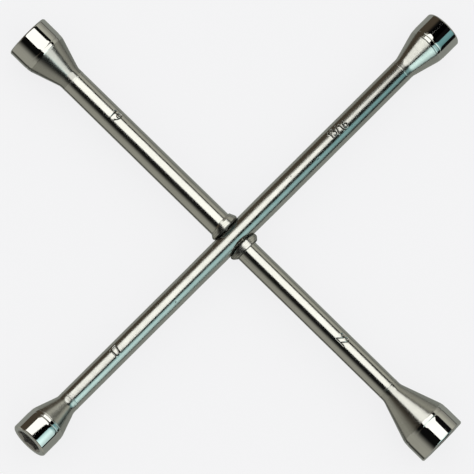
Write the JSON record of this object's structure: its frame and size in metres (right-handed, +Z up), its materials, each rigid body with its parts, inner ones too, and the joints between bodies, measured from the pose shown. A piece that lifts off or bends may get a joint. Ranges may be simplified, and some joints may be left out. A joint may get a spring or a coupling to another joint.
{
  "type": "lug wrench",
  "caption": "Cross-shaped wheel wrench of chromed steel: round bars welded at the crossing, each arm ending in a flared hexagon socket of another size.",
  "frame": {"origin": "the middle of the through bar, on its axis, halfway between the rims of its two sockets; the half bars' axis crosses the through bar 4 mm from it, on the 17 mm side", "axes": "+X along the through bar towards the 13/16 in socket, +Y along the half bars towards the 19 mm socket, +Z up when the wrench lies flat with its size stamps on top"},
  "size_m": [0.41, 0.3935, 0.037],
  "materials": {
    "satin_chrome": "satin chrome plate over ground steel, brushed along the bar",
    "polished_chrome": "mirror-polished chrome on the sockets' lands, satin on their cones, dull inside the hexagons",
    "weld_chrome": "chrome plate over upset weld metal, semi-bright and uneven"
  },
  "bodies": {
    "root": {"through_bar": "satin_chrome", "half_bar_19": "satin_chrome", "half_bar_22": "satin_chrome", "socket_17": "polished_chrome", "socket_13_16": "polished_chrome", "socket_19": "polished_chrome", "socket_22": "polished_chrome", "weld_collar_19": "weld_chrome", "weld_collar_22": "weld_chrome", "neck_weld_17": "satin_chrome", "neck_weld_13_16": "satin_chrome", "neck_weld_19": "satin_chrome", "neck_weld_22": "satin_chrome"}
  },
  "joints": []
}
